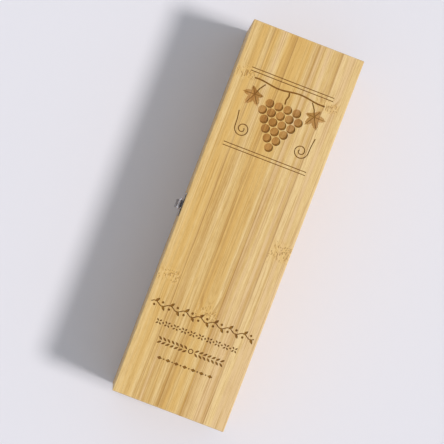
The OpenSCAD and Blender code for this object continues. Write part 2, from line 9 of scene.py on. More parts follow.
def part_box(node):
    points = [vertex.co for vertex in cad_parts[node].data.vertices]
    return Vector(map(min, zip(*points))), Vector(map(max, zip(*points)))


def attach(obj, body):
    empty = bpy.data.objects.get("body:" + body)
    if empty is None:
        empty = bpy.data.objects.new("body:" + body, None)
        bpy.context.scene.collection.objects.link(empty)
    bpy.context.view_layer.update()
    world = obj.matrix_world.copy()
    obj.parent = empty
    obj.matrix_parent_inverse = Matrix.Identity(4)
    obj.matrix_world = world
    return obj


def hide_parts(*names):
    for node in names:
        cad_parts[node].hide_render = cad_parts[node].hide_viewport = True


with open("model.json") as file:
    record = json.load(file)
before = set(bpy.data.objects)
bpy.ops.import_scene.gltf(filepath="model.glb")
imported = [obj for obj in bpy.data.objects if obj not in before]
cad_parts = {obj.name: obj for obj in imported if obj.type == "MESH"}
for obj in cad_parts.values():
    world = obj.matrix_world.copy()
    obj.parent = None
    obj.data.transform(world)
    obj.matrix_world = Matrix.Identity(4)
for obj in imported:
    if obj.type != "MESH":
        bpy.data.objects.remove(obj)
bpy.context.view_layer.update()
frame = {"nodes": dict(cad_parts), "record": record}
node = frame["nodes"]
mm = 0.001

# Bottom panel.
# A board of pressed bamboo, 7 mm thick, glued up from flat strips that run along the box, and
# sanded. It is let into the four walls from below, and the box rests on it.


def srgb(red, green, blue):
    """A colour as it is seen on a screen, 0 to 255, turned into the linear light that shaders take."""
    def linear(value):
        share = value / 255
        return share / 12.92 if share <= 0.04045 else ((share + 0.055) / 1.055) ** 2.4
    return (linear(red), linear(green), linear(blue), 1.0)


def put(tree, kind, *given, **settings):
    """Adds a shader node. The given numbers, colours or sockets go to its inputs in order."""
    made = tree.nodes.new("ShaderNode" + kind)
    for name, value in settings.items():
        setattr(made, name, value)
    for slot, value in zip([s for s in made.inputs if s.enabled], given):
        if isinstance(value, bpy.types.NodeSocket):
            tree.links.new(value, slot)
        else:
            slot.default_value = value
    return made


def sums(tree, operation, *given):
    """A Math node's result, such as DIVIDE of a socket and a number."""
    return put(tree, "Math", *given, operation=operation).outputs[0]


def plus(tree, base, value, share=1.0):
    """The base, plus a share of the value."""
    return sums(tree, "MULTIPLY_ADD", value, share, base)


def product(tree, first, *others):
    """All the given values multiplied together."""
    for other in others:
        first = sums(tree, "MULTIPLY", first, other)
    return first


def off(tree, value, middle):
    """How far a value is from a middle, on either side."""
    return sums(tree, "ABSOLUTE", sums(tree, "SUBTRACT", value, middle))


def ease(tree, value, low, high, at_low=0.0, at_high=1.0):
    """A soft step: at_low below low, at_high above high, and a smooth S between them."""
    made = put(tree, "MapRange", value, low, high, at_low, at_high, interpolation_type="SMOOTHSTEP")
    return made.outputs[0]


def fade(tree, value, low, high, at_low=1.0):
    """A soft step down: at_low below low, and 0 above high."""
    return ease(tree, value, low, high, at_low, 0.0)


def vector(tree, x, y, z):
    """Three values joined into one vector."""
    return put(tree, "CombineXYZ", x, y, z).outputs[0]


def cloudy(tree, place, waves, detail=2.0, roughness=0.5):
    """A cloudy pattern round 0.5, with so many waves per unit of the place."""
    return put(tree, "TexNoise", place, waves, detail, roughness).outputs[0]


def around(tree, cloud):
    """A cloud that swings round 0, where it swung round 0.5."""
    return sums(tree, "SUBTRACT", cloud, 0.5)


def blend(tree, share, first, second, way="MIX"):
    """Mixes two colours: all first at share 0, all second at share 1."""
    made = put(tree, "Mix", share, first, second, data_type="RGBA", blend_type=way)
    return next(slot for slot in made.outputs if slot.enabled)


def ramp(tree, value, stops):
    """A colour scale: each stop is a position and a colour."""
    made = put(tree, "ValToRGB", value)
    scale = made.color_ramp
    while len(scale.elements) < len(stops):
        scale.elements.new(1.0)
    for element, (position, colour) in zip(scale.elements, stops):
        element.position = position
        element.color = colour
    return made.outputs[0]


FLOAT, COLOUR, VECTOR = "NodeSocketFloat", "NodeSocketColor", "NodeSocketVector"


def new_group(name, inputs, outputs):
    """An empty node group with named inputs and outputs, and the sockets of its two end nodes."""
    tree = bpy.data.node_groups.new(name, "ShaderNodeTree")
    for title, kind, value in inputs:
        slot = tree.interface.new_socket(title, in_out="INPUT", socket_type=kind)
        slot.default_value = value
    for title, kind in outputs:
        tree.interface.new_socket(title, in_out="OUTPUT", socket_type=kind)
    return tree, tree.nodes.new("NodeGroupInput").outputs, tree.nodes.new("NodeGroupOutput").inputs


STRIP_W = 21.7 * mm

# The cane's nodes: how far the band wanders, the size of a dash, which dashes are dark or pale, and the
# arches' reach, spacing and length. A slice picks one layer of a solid pattern.
BAND_WANDER = 12 * mm
BAND_WAVES = 110.0
BAND_CORE = 0.3
STRIP_CORE = 0.93
DASH_LENGTH = 2.1 * mm
DASH_WIDTH = 1.05 * mm
DASH_SLICE = 4.0
DASH_EDGE = (0.3, 0.6)
DARK_OVER = 0.98
DARK_MORE_IN_BAND = 0.6
PALE_UNDER = 0.3
ARCH_REACH = 0.7
ARCH_SPACING = 1.1 * mm
ARCH_LENGTH = 60 * mm
ARCH_SLICE = 0.3
ARCH_DARKER = 0.07
ARCH_START = (-1 * mm, 3 * mm)


def make_cane_node():
    """A node of the cane, where a partition crossed it: a band of short dashes across one strip. Dark
    and Pale are the masks of the dashes, Warm is the tanned wood round them, and Arches and Arch mask
    give the nested curves in which the fibres close up before the band."""
    tree, given, result = new_group("cane_node", [
        ("Along", FLOAT, 0.0), ("Across", FLOAT, 0.0),
        ("Centre along", FLOAT, 0.0), ("Centre across", FLOAT, 0.0),
        ("Half width", FLOAT, 0.01), ("Half length", FLOAT, 0.006), ("Arch length", FLOAT, 0.03),
    ], [("Dark", FLOAT), ("Pale", FLOAT), ("Warm", FLOAT), ("Arches", FLOAT), ("Arch mask", FLOAT)])
    run = sums(tree, "SUBTRACT", given["Along"], given["Centre along"])
    side = sums(tree, "SUBTRACT", given["Across"], given["Centre across"])
    place = vector(tree, given["Along"], given["Across"], 0.0)
    bent = plus(tree, run, around(tree, cloudy(tree, place, BAND_WAVES, 1.0)), BAND_WANDER)
    off_band = sums(tree, "DIVIDE", sums(tree, "ABSOLUTE", bent), given["Half length"])
    off_middle = sums(tree, "DIVIDE", sums(tree, "ABSOLUTE", side), given["Half width"])
    inside = fade(tree, off_middle, STRIP_CORE, 1.0)
    band = product(tree, fade(tree, off_band, BAND_CORE, 1.0), inside)
    tree.links.new(band, result["Warm"])

    dash_place = vector(tree, sums(tree, "DIVIDE", bent, DASH_LENGTH),
                        sums(tree, "DIVIDE", side, DASH_WIDTH), DASH_SLICE)
    cells = put(tree, "TexVoronoi", dash_place, 1.0).outputs
    lot = put(tree, "SeparateColor", cells["Color"]).outputs["Red"]
    dashes = product(tree, fade(tree, cells["Distance"], *DASH_EDGE), band)
    dark = sums(tree, "GREATER_THAN", lot, plus(tree, DARK_OVER, band, -DARK_MORE_IN_BAND))
    pale = sums(tree, "LESS_THAN", lot, PALE_UNDER)
    tree.links.new(product(tree, dashes, dark), result["Dark"])
    tree.links.new(product(tree, dashes, pale), result["Pale"])

    before = product(tree, run, -1.0)
    rise = fade(tree, before, 0.0, given["Arch length"])
    reach = product(tree, given["Half width"], ARCH_REACH, rise)
    bowed = sums(tree, "SQRT", plus(tree, product(tree, side, side), product(tree, reach, reach)))
    arch_place = vector(tree, sums(tree, "DIVIDE", bowed, ARCH_SPACING),
                        sums(tree, "DIVIDE", run, ARCH_LENGTH), ARCH_SLICE)
    tree.links.new(plus(tree, ARCH_DARKER, cloudy(tree, arch_place, 1.0, 1.0)), result["Arches"])
    ahead = ease(tree, before, *ARCH_START)
    tree.links.new(product(tree, rise, ahead, inside), result["Arch mask"])
    return tree


CANE_NODE = make_cane_node()

PALE = srgb(232, 201, 143)
MID = srgb(218, 182, 116)
DEEP = srgb(197, 153, 86)
BEIGE = srgb(225, 191, 140)
GOLDEN = srgb(221, 177, 98)
LINE = srgb(178, 129, 57)
BROWN = srgb(152, 104, 40)

# Waves of the wood's clouds, by their length along the grain and their width across it.
BROAD_WAVES = (700 * mm, 7 * mm)
MIDDLE_WAVES = (280 * mm, 3.2 * mm)
WARM_WAVES = (500 * mm, 7 * mm)
LINE_WAVES = (80 * mm, 1.15 * mm)
BUNDLE_WAVES = (26 * mm, 0.6 * mm)
FIBRE_WAVES = (7 * mm, 0.55 * mm)
VESSEL_WAVES = (5 * mm, 0.2 * mm)

# How much each cloud sways the tone, from 0 for DEEP over MID_AT for MID to 1 for PALE, and how much
# the hue sways, from golden to beige, by the strip and by the cloud of warmth.
TONE = 0.575
MID_AT = 0.48
BROAD_SWAY = 1.7
MIDDLE_SWAY = 0.98
FIBRE_SWAY = 1.0
STRIP_SWAY = 0.4
HUE = -0.15
HUE_SWAY = 1.3
STRIP_HUE_SWAY = 0.5
GOLDEN_HUE = (0.22, 0.44)
GOLDEN_MOST = 0.65
BEIGE_HUE = (0.44, 0.68)
BEIGE_MOST = 0.95

# Where a cloud is dense enough to be a dark line, how much that changes from strip to strip, and how
# softly the line comes up there. Curves and dashes come up at densities of their own.
LINE_AT = 0.572
STRIP_LINE_SWAY = 0.055
LINE_EDGE = (0.0, 0.07)
BUNDLE_EDGE = (-0.04, 0.06)
CURVE_DENSE = (0.52, 0.64)
DASH_DENSE = (0.58, 0.72)

# The sanded surface: how rough it is, and how far the fibres stand proud in the bump.
ROUGHNESS = 0.5
FIBRE_GLOSS = 0.3
LINE_ROUGHER = 0.08
FIBRE_PROUD = 0.7

# The grain's sideways drift, and the pattern's shift from strip to strip and from board to board.
GRAIN_DRIFT = 2.0 * mm
DRIFT_WAVES = 4.0
DRIFT_STEP = 0.7
STRIP_SHIFT = 90.0
SEED_SHIFT = 5.1

# The glued joints between strips: a hairline of glue, and the darker wood on both sides of it, which
# is wider before the joint than beyond it. Each joint is strong in some places and faint in others.
GLUE_EDGE = (0.08 * mm, 0.5 * mm)
GLUE_STRONG = 0.6
DARK_BEYOND = 1.2 * mm
DARK_BEYOND_STRONG = 0.3
DARK_BEFORE = 3.4 * mm
DARK_BEFORE_STRONG = 0.5
JOINT_WAVES = 9.0
JOINT_STEP = 3.1
JOINT_SHOWS = (0.32, 0.62)
JOINT_LEAST = 0.35
JOINT_END = 2 * mm


def make_bamboo():
    """Pressed bamboo, as a function of three places in metres: along the grain, across the strips, and
    through the board. Each strip has its own tone, and its own share of thin dark lines. All are clouds
    drawn out along the grain, so a cut across the grain shows the same fibres as dots."""
    tree, given, result = new_group("bamboo", [
        ("Along", FLOAT, 0.0), ("Across", FLOAT, 0.0), ("Through", FLOAT, 0.0),
        ("First joint", FLOAT, 0.0), ("Joints within", FLOAT, 1.0), ("Seed", FLOAT, 0.0),
        ("Arches", FLOAT, 0.5), ("Arch mask", FLOAT, 0.0),
        ("Dark", FLOAT, 0.0), ("Pale", FLOAT, 0.0), ("Warm", FLOAT, 0.0),
    ], [("Color", COLOUR), ("Roughness", FLOAT), ("Height", FLOAT)])
    along, across, through = given["Along"], given["Across"], given["Through"]
    strips = sums(tree, "DIVIDE", sums(tree, "SUBTRACT", across, given["First joint"]), STRIP_W)
    strip = sums(tree, "FLOOR", strips)
    chance = put(tree, "TexWhiteNoise", vector(tree, strip, given["Seed"], 0.0), noise_dimensions="3D")
    lot = put(tree, "SeparateColor", chance.outputs["Color"]).outputs
    shift = product(tree, lot["Red"], STRIP_SHIFT)
    drift_place = vector(tree, along, product(tree, strip, DRIFT_STEP), given["Seed"])
    drift = cloudy(tree, drift_place, DRIFT_WAVES, 1.0)
    side = plus(tree, across, around(tree, drift), GRAIN_DRIFT)

    def streaks(waves, layer, detail=1.0, roughness=0.5):
        """A cloud with the given waves, other in each strip and in each layer of the pattern."""
        length, width = waves
        depth = sums(tree, "ADD", sums(tree, "DIVIDE", through, width),
                     plus(tree, layer, given["Seed"], SEED_SHIFT))
        place = vector(tree, sums(tree, "DIVIDE", along, length),
                       sums(tree, "ADD", sums(tree, "DIVIDE", side, width), shift), depth)
        return cloudy(tree, place, 1.0, detail, roughness)

    broad = streaks(BROAD_WAVES, 0.0)
    middle = streaks(MIDDLE_WAVES, 20.0)
    lines = streaks(LINE_WAVES, 40.0, roughness=0.35)
    lines = blend(tree, given["Arch mask"], lines, given["Arches"])
    bundles = streaks(BUNDLE_WAVES, 50.0)
    fibre = streaks(FIBRE_WAVES, 60.0, detail=2.0, roughness=0.6)
    vessel = streaks(VESSEL_WAVES, 80.0)
    warmth = streaks(WARM_WAVES, 100.0)

    tone = TONE
    for cloud, sway in ((broad, BROAD_SWAY), (middle, MIDDLE_SWAY), (fibre, FIBRE_SWAY),
                        (lot["Green"], STRIP_SWAY)):
        tone = plus(tree, tone, around(tree, cloud), sway)
    colour = ramp(tree, tone, [(0.0, DEEP), (MID_AT, MID), (1.0, PALE)])
    hue = plus(tree, plus(tree, HUE, warmth, HUE_SWAY), around(tree, lot["Blue"]), STRIP_HUE_SWAY)
    colour = blend(tree, ease(tree, hue, *BEIGE_HUE, 0.0, BEIGE_MOST), colour, BEIGE)
    colour = blend(tree, fade(tree, hue, *GOLDEN_HUE, GOLDEN_MOST), colour, GOLDEN)

    dense = plus(tree, LINE_AT, around(tree, lot["Red"]), -STRIP_LINE_SWAY)
    line = ease(tree, sums(tree, "SUBTRACT", lines, dense), *LINE_EDGE)
    bundle = ease(tree, sums(tree, "SUBTRACT", bundles, dense), *BUNDLE_EDGE)
    curve = product(tree, ease(tree, given["Arches"], *CURVE_DENSE), given["Arch mask"])
    short_dash = ease(tree, vessel, *DASH_DENSE)

    share = sums(tree, "FRACT", strips)
    beyond = product(tree, share, STRIP_W)
    before = product(tree, sums(tree, "SUBTRACT", 1.0, share), STRIP_W)
    joint = sums(tree, "ROUND", strips)
    joint_place = vector(tree, along, product(tree, joint, JOINT_STEP), given["Seed"])
    uneven = ease(tree, cloudy(tree, joint_place, JOINT_WAVES, 1.0), *JOINT_SHOWS, JOINT_LEAST, 1.0)
    joints_end = sums(tree, "ADD", given["Joints within"], JOINT_END)
    on_board = fade(tree, sums(tree, "ABSOLUTE", across), given["Joints within"], joints_end)
    strength = product(tree, uneven, on_board)
    from_joint = sums(tree, "MINIMUM", beyond, before)
    glue = product(tree, fade(tree, from_joint, *GLUE_EDGE, GLUE_STRONG), strength)
    smear = sums(tree, "MAXIMUM", fade(tree, beyond, 0.0, DARK_BEYOND, DARK_BEYOND_STRONG),
                 fade(tree, before, 0.0, DARK_BEFORE, DARK_BEFORE_STRONG))

    # Stains over the wood's own colour, in this order: a mask, how strong it is, and its colour
    for mask, strong, stain in (
        (line, 0.4, LINE), (bundle, 0.3, LINE), (curve, 0.4, LINE), (short_dash, 0.34, LINE),
        (smear, strength, LINE), (glue, 1.0, BROWN),
        (given["Warm"], 0.35, GOLDEN), (given["Dark"], 0.7, BROWN), (given["Pale"], 0.5, PALE),
    ):
        colour = blend(tree, product(tree, mask, strong), colour, stain)
    rough = plus(tree, plus(tree, ROUGHNESS, around(tree, fibre), -FIBRE_GLOSS), line, LINE_ROUGHER)
    height = product(tree, fibre, FIBRE_PROUD)
    for mask, sunk in ((short_dash, 0.8), (bundle, 0.3), (line, 0.5), (glue, 0.9), (given["Dark"], 0.4)):
        height = plus(tree, height, mask, -sunk)
    tree.links.new(colour, result["Color"])
    tree.links.new(rough, result["Roughness"])
    tree.links.new(height, result["Height"])
    return tree


BAMBOO = make_bamboo()

left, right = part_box("left_end")[0].x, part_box("right_end")[1].x
front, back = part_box("front_wall")[0].y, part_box("back_wall")[1].y
panel_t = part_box("bottom_panel")[1].z
body_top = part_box("front_wall")[1].z
lid_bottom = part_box("lid_front_rail")[0].z
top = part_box("lid_panel")[1].z
WALL_T = 8 * mm

# Wear along the edges: how far in it reaches, from patch to patch, and how much of that is rubbed most.
WEAR_REACH = (0.6 * mm, 2.2 * mm)
WEAR_CORE = 0.2
WEAR_WAVES = 130.0
WEAR_PATCHES = (0.3, 0.7)


def make_edge_wear():
    """How much the wood near the block's edges is rubbed, 0 to 1. A place is as far from the nearest
    edge as the middle one of its distances from the three pairs of faces, where the saw cut counts as
    a face."""
    tree, given, result = new_group("edge_wear", [("Place", VECTOR, (0.0, 0.0, 0.0))], [("Wear", FLOAT)])
    place = put(tree, "SeparateXYZ", given["Place"]).outputs
    end = sums(tree, "SUBTRACT", right, sums(tree, "ABSOLUTE", place["X"]))
    side = sums(tree, "SUBTRACT", back, sums(tree, "ABSOLUTE", place["Y"]))
    seam = off(tree, place["Z"], (body_top + lid_bottom) / 2)
    under_top = sums(tree, "SUBTRACT", top, place["Z"])
    level = sums(tree, "MINIMUM", seam, sums(tree, "MINIMUM", place["Z"], under_top))
    middle = sums(tree, "MAXIMUM", sums(tree, "MINIMUM", end, side),
                  sums(tree, "MINIMUM", sums(tree, "MAXIMUM", end, side), level))
    patchy = cloudy(tree, given["Place"], WEAR_WAVES, 3.0, 0.6)
    reach = ease(tree, patchy, *WEAR_PATCHES, *WEAR_REACH)
    tree.links.new(fade(tree, sums(tree, "DIVIDE", middle, reach), WEAR_CORE, 1.0), result["Wear"])
    return tree


EDGE_WEAR = make_edge_wear()

GLUE_HALF_W = 0.09 * mm
GLUE_CORE = 0.3
GLUE_RIM = 1.6
WALL_FINGERS = 9
RAIL_FINGERS = 2


def make_glue_line():
    """The hairline of glue where two boards meet: round both panels, along each finger of the corners,
    and where the fingers end. Long is 1 for the front and back boards and 0 for the ends."""
    tree, given, result = new_group("glue_line", [
        ("Place", VECTOR, (0.0, 0.0, 0.0)), ("Long", FLOAT, 0.0),
    ], [("Line", FLOAT)])
    place = put(tree, "SeparateXYZ", given["Place"]).outputs
    out_x = sums(tree, "ABSOLUTE", place["X"])
    out_y = sums(tree, "ABSOLUTE", place["Y"])

    def near(distance):
        """1 where a distance is within the hairline, and 0 outside it."""
        return fade(tree, distance, GLUE_CORE * GLUE_HALF_W, GLUE_RIM * GLUE_HALF_W)

    in_end = sums(tree, "GREATER_THAN", out_x, right - WALL_T - GLUE_HALF_W)
    in_side = sums(tree, "GREATER_THAN", out_y, back - WALL_T - GLUE_HALF_W)
    lines = sums(tree, "MAXIMUM", near(off(tree, place["Z"], panel_t)),
                 near(off(tree, place["Z"], top - panel_t)))
    for low, high, fingers in ((panel_t, body_top, WALL_FINGERS),
                               (lid_bottom, top - panel_t, RAIL_FINGERS)):
        finger_h = (high - low) / fingers
        turns = sums(tree, "DIVIDE", sums(tree, "SUBTRACT", place["Z"], low - finger_h / 2), finger_h)
        from_edge = product(tree, off(tree, sums(tree, "FRACT", turns), 0.5), finger_h)
        within = sums(tree, "COMPARE", place["Z"], (low + high) / 2, (high - low) / 2)
        finger_line = product(tree, near(from_edge), in_end, in_side, within)
        lines = sums(tree, "MAXIMUM", lines, finger_line)
    end_root = product(tree, near(off(tree, out_x, right - WALL_T)), in_side,
                       sums(tree, "SUBTRACT", 1.0, given["Long"]))
    side_root = product(tree, near(off(tree, out_y, back - WALL_T)), in_end, given["Long"])
    lines = sums(tree, "MAXIMUM", lines, sums(tree, "MAXIMUM", end_root, side_root))
    tree.links.new(lines, result["Line"])
    return tree


GLUE_LINE = make_glue_line()

FIBRE_DOTS = 1700.0
DOT_SIZE = (0.18, 0.42)
DOT_DARK = 0.5
DOT_PROUD = 0.5
END_GROUND = srgb(206, 164, 102)
END_TANNED = 0.55
CUT_EDGE = (0.5, 0.8)


def make_end_grain():
    """A cut across the cane: the fibre bundles are dark dots about 0.6 mm apart in a tanned ground. Cut
    is 1 where the surface is square to the grain and 0 where it lies along it."""
    tree, given, result = new_group("end_grain", [
        ("Across", FLOAT, 0.0), ("Through", FLOAT, 0.0), ("Cut", FLOAT, 0.0), ("Color", COLOUR, MID),
        ("Height", FLOAT, 0.0),
    ], [("Color", COLOUR), ("Height", FLOAT)])
    place = vector(tree, given["Across"], given["Through"], 0.0)
    cells = put(tree, "TexVoronoi", place, FIBRE_DOTS, voronoi_dimensions="2D")
    dots = fade(tree, cells.outputs["Distance"], *DOT_SIZE)
    ground = blend(tree, END_TANNED, given["Color"], END_GROUND)
    dotted = blend(tree, product(tree, dots, DOT_DARK), ground, BROWN)
    cut = ease(tree, given["Cut"], *CUT_EDGE)
    tree.links.new(blend(tree, cut, given["Color"], dotted), result["Color"])
    tree.links.new(plus(tree, given["Height"], product(tree, dots, cut), DOT_PROUD), result["Height"])
    return tree


END_GRAIN = make_end_grain()

WORN = srgb(238, 214, 166)
WORN_PALER = 0.3
WORN_ROUGHER = 0.1
GLUE_DARK = 0.6
WOOD_BUMP = 0.35
WOOD_BUMP_HEIGHT = 0.1 * mm
WOOD_GLOSS = 0.35


def bamboo_finish(name, grain, strips, through, first_joint, seed, marks=(), joints_within=1.0,
                  carving=None):
    """A material of sanded bamboo. Grain, strips and through name the axes along the grain, across the
    strips and through the board. The joints between strips show only within joints_within of the
    middle. Marks are the cane's nodes, each by its place along and across, half its length, and the
    length of the arches before it. Carving colours what is cut into the board."""
    material = bpy.data.materials.new(name)
    material.use_nodes = True
    tree = material.node_tree
    shader = tree.nodes["Principled BSDF"].inputs
    seen = tree.nodes.new("ShaderNodeTexCoord").outputs
    place = put(tree, "SeparateXYZ", seen["Object"]).outputs
    facing = put(tree, "SeparateXYZ", seen["Normal"]).outputs
    board = put(tree, "Group", place[grain], place[strips], place[through], first_joint,
                joints_within, seed, node_tree=BAMBOO)
    for along, across, half_length, arch_length in marks:
        mark = put(tree, "Group", place[grain], place[strips], along, across, STRIP_W / 2, half_length,
                   arch_length, node_tree=CANE_NODE)
        for socket in ("Dark", "Pale", "Warm", "Arch mask", "Arches"):
            taken = board.inputs[socket].links
            new = mark.outputs[socket]
            if taken and socket == "Arches":
                new = blend(tree, mark.outputs["Arch mask"], taken[0].from_socket, new)
            elif taken:
                new = sums(tree, "MAXIMUM", taken[0].from_socket, new)
            tree.links.new(new, board.inputs[socket])
    cut = sums(tree, "ABSOLUTE", facing[grain])
    ends = put(tree, "Group", place[strips], place[through], cut, board.outputs["Color"],
               board.outputs["Height"], node_tree=END_GRAIN).outputs
    wear = put(tree, "Group", seen["Object"], node_tree=EDGE_WEAR).outputs["Wear"]
    long = 1.0 if grain == "X" else 0.0
    glue = put(tree, "Group", seen["Object"], long, node_tree=GLUE_LINE).outputs["Line"]
    colour = blend(tree, product(tree, wear, WORN_PALER), ends["Color"], WORN)
    colour = blend(tree, product(tree, glue, GLUE_DARK), colour, BROWN)
    if carving:
        colour = carving(tree, place, colour)
    bump = put(tree, "Bump")
    bump.inputs["Strength"].default_value = WOOD_BUMP
    bump.inputs["Distance"].default_value = WOOD_BUMP_HEIGHT
    tree.links.new(plus(tree, ends["Height"], glue, -1.0), bump.inputs["Height"])
    tree.links.new(colour, shader["Base Color"])
    tree.links.new(plus(tree, board.outputs["Roughness"], wear, WORN_ROUGHER), shader["Roughness"])
    tree.links.new(bump.outputs["Normal"], shader["Normal"])
    shader["Specular IOR Level"].default_value = WOOD_GLOSS
    return material


def finish_node(name, material):
    """Gives a carried-over node its material."""
    node[name].data.materials.clear()
    node[name].data.materials.append(material)


first_joint = front - 0.7 * mm
strip_middle = [first_joint + (index + 0.5) * STRIP_W for index in range(5)]
PANEL_JOINTS_WITHIN = 46 * mm
finish_node("bottom_panel", bamboo_finish("bamboo_bottom", "X", "Y", "Z", first_joint, 4.0, marks=(
    (-90 * mm, strip_middle[1], 6 * mm, 20 * mm),
    (105 * mm, strip_middle[1], 6 * mm, 20 * mm),
    (20 * mm, strip_middle[3], 7 * mm, 26 * mm),
), joints_within=PANEL_JOINTS_WITHIN))

# Walls and ends.
# Four boards, 8 mm thick, finger jointed and glued into one closed box with the lid's rails. The lid is
# sawn off afterwards, so the grain of a wall runs on into the rail over it.

WALL_JOINT = 12 * mm
row_middle = [WALL_JOINT + (index - 0.5) * STRIP_W for index in range(5)]
finish_node("front_wall", bamboo_finish("bamboo_front", "X", "Z", "Y", WALL_JOINT, 1.0, marks=(
    (-118 * mm, row_middle[1], 6 * mm, 22 * mm),
    (72 * mm, row_middle[1], 6 * mm, 22 * mm),
    (128 * mm, row_middle[3], 7 * mm, 30 * mm),
    (-40 * mm, row_middle[2], 5 * mm, 18 * mm),
)))
finish_node("back_wall", bamboo_finish("bamboo_back", "X", "Z", "Y", WALL_JOINT, 2.0, marks=(
    (-20 * mm, row_middle[1], 7 * mm, 28 * mm),
    (150 * mm, row_middle[2], 6 * mm, 18 * mm),
    (-145 * mm, row_middle[3], 6 * mm, 24 * mm),
)))
finish_node("left_end", bamboo_finish("bamboo_left", "Y", "Z", "X", WALL_JOINT, 3.0, marks=(
    (18 * mm, row_middle[2], 6 * mm, 24 * mm),
)))
finish_node("right_end", bamboo_finish("bamboo_right", "Y", "Z", "X", WALL_JOINT, 5.0, marks=(
    (-24 * mm, row_middle[1], 6 * mm, 22 * mm),
)))

# Bottle supports.
# Two planed bamboo boards across the box, let into grooves in the walls: a tall one notched for the
# bottle's neck, and a low one notched for its body.

SADDLE_JOINT = 4 * mm
finish_node("neck_rest", bamboo_finish("bamboo_neck_rest", "Y", "Z", "X", 0.0, 6.0))
finish_node("bottle_saddle", bamboo_finish("bamboo_saddle", "Y", "Z", "X", SADDLE_JOINT, 7.0))

# Lid rails.
# The four bamboo boards round the lid, finger jointed like the walls. They are sawn off the walls
# under them, and each has the finish of its wall.

for wall, rail in (("front_wall", "lid_front_rail"), ("back_wall", "lid_back_rail"),
                   ("left_end", "lid_left_rail"), ("right_end", "lid_right_rail")):
    finish_node(rail, node[wall].data.materials[0])

# Lid panel.
# The best board, of five strips, glued on the rails. The carving is burnt and routed into it: broad
# fills 0.4 mm deep come out mid brown, and lines 0.8 mm deep dark brown.

CARVING_MARGIN = 2 * mm
CARVING_REACH = 2 * mm
CARVED_FROM = (0.02 * mm, 0.15 * mm)
LINE_FROM = (0.45 * mm, 0.7 * mm)
FILL_PALE = (0.74, 0.58, 0.41, 1.0)
FILL_DARK = (0.56, 0.40, 0.17, 1.0)
LINE_BURNT = (0.37, 0.24, 0.01, 1.0)
SMOKE_WAVES = 70.0
SMOKE_EDGE = (0.35, 0.65)


def burnt_carving(tree, place, colour):
    """Tans the floors and walls of the carving, which are the only surface between the panel's faces:
    the wood's colour times the share of light that scorched wood gives back, less the deeper it is."""
    deep = sums(tree, "SUBTRACT", top, place["Z"])
    in_x = sums(tree, "LESS_THAN", sums(tree, "ABSOLUTE", place["X"]), right - CARVING_MARGIN)
    in_y = sums(tree, "LESS_THAN", sums(tree, "ABSOLUTE", place["Y"]), back - CARVING_MARGIN)
    in_z = sums(tree, "LESS_THAN", deep, CARVING_REACH)
    smoke = cloudy(tree, vector(tree, place["X"], place["Y"], place["Z"]), SMOKE_WAVES, 3.0)
    fill = blend(tree, ease(tree, smoke, *SMOKE_EDGE), FILL_PALE, FILL_DARK)
    scorch = blend(tree, ease(tree, deep, *LINE_FROM), fill, LINE_BURNT)
    share = product(tree, in_x, in_y, in_z, ease(tree, deep, *CARVED_FROM))
    return blend(tree, share, colour, scorch, "MULTIPLY")


LID_SEED = 7614.0
finish_node("lid_panel", bamboo_finish("bamboo_lid", "X", "Y", "Z", first_joint, LID_SEED, marks=(
    (left + 48 * mm, strip_middle[0], 7 * mm, 12 * mm),
    (left + 240 * mm, strip_middle[0], 9 * mm, 12 * mm),
    (left + 262 * mm, strip_middle[2], 9 * mm, 40 * mm),
    (left + 187 * mm, strip_middle[4], 14 * mm, 16 * mm),
    (left + 50 * mm, strip_middle[4] - 8 * mm, 6 * mm, 20 * mm),
), joints_within=PANEL_JOINTS_WITHIN, carving=burnt_carving))

# Hinges.
# Two butt hinges of nickel plated steel, 1 mm thick, each of two pressed leaves rolled round a bright
# steel pin. Eight small screws hold them, with their heads sunk into the leaves.

GLOSS_WAVES = 110.0
HAIR_WAVES = 9000.0
HAIR_STRETCH = 0.06
CLOUD_EDGE = (0.4, 0.7)
CLOUD_DARKER = 0.92
CLOUD_GLOSS = 0.2
PIT_CELLS = 900.0
PIT_SIZE = (0.04, 0.12)
PIT_DARK = 0.5
PIT = srgb(84, 80, 82)
# The near-black colour of painted shade on metal close to the wall, how far from the wall it reaches,
# and how its edge wavers.
PAINTED_SHADE = srgb(34, 31, 30)
PAINTED_SHADE_WITHIN = (0.4 * mm, 0.85 * mm)
PAINTED_SHADE_WAVES = 700.0
PAINTED_SHADE_SWAY = 0.5 * mm
METAL_BUMP = 0.1
METAL_BUMP_HEIGHT = 0.02 * mm
HAIR_PROUD = 0.4


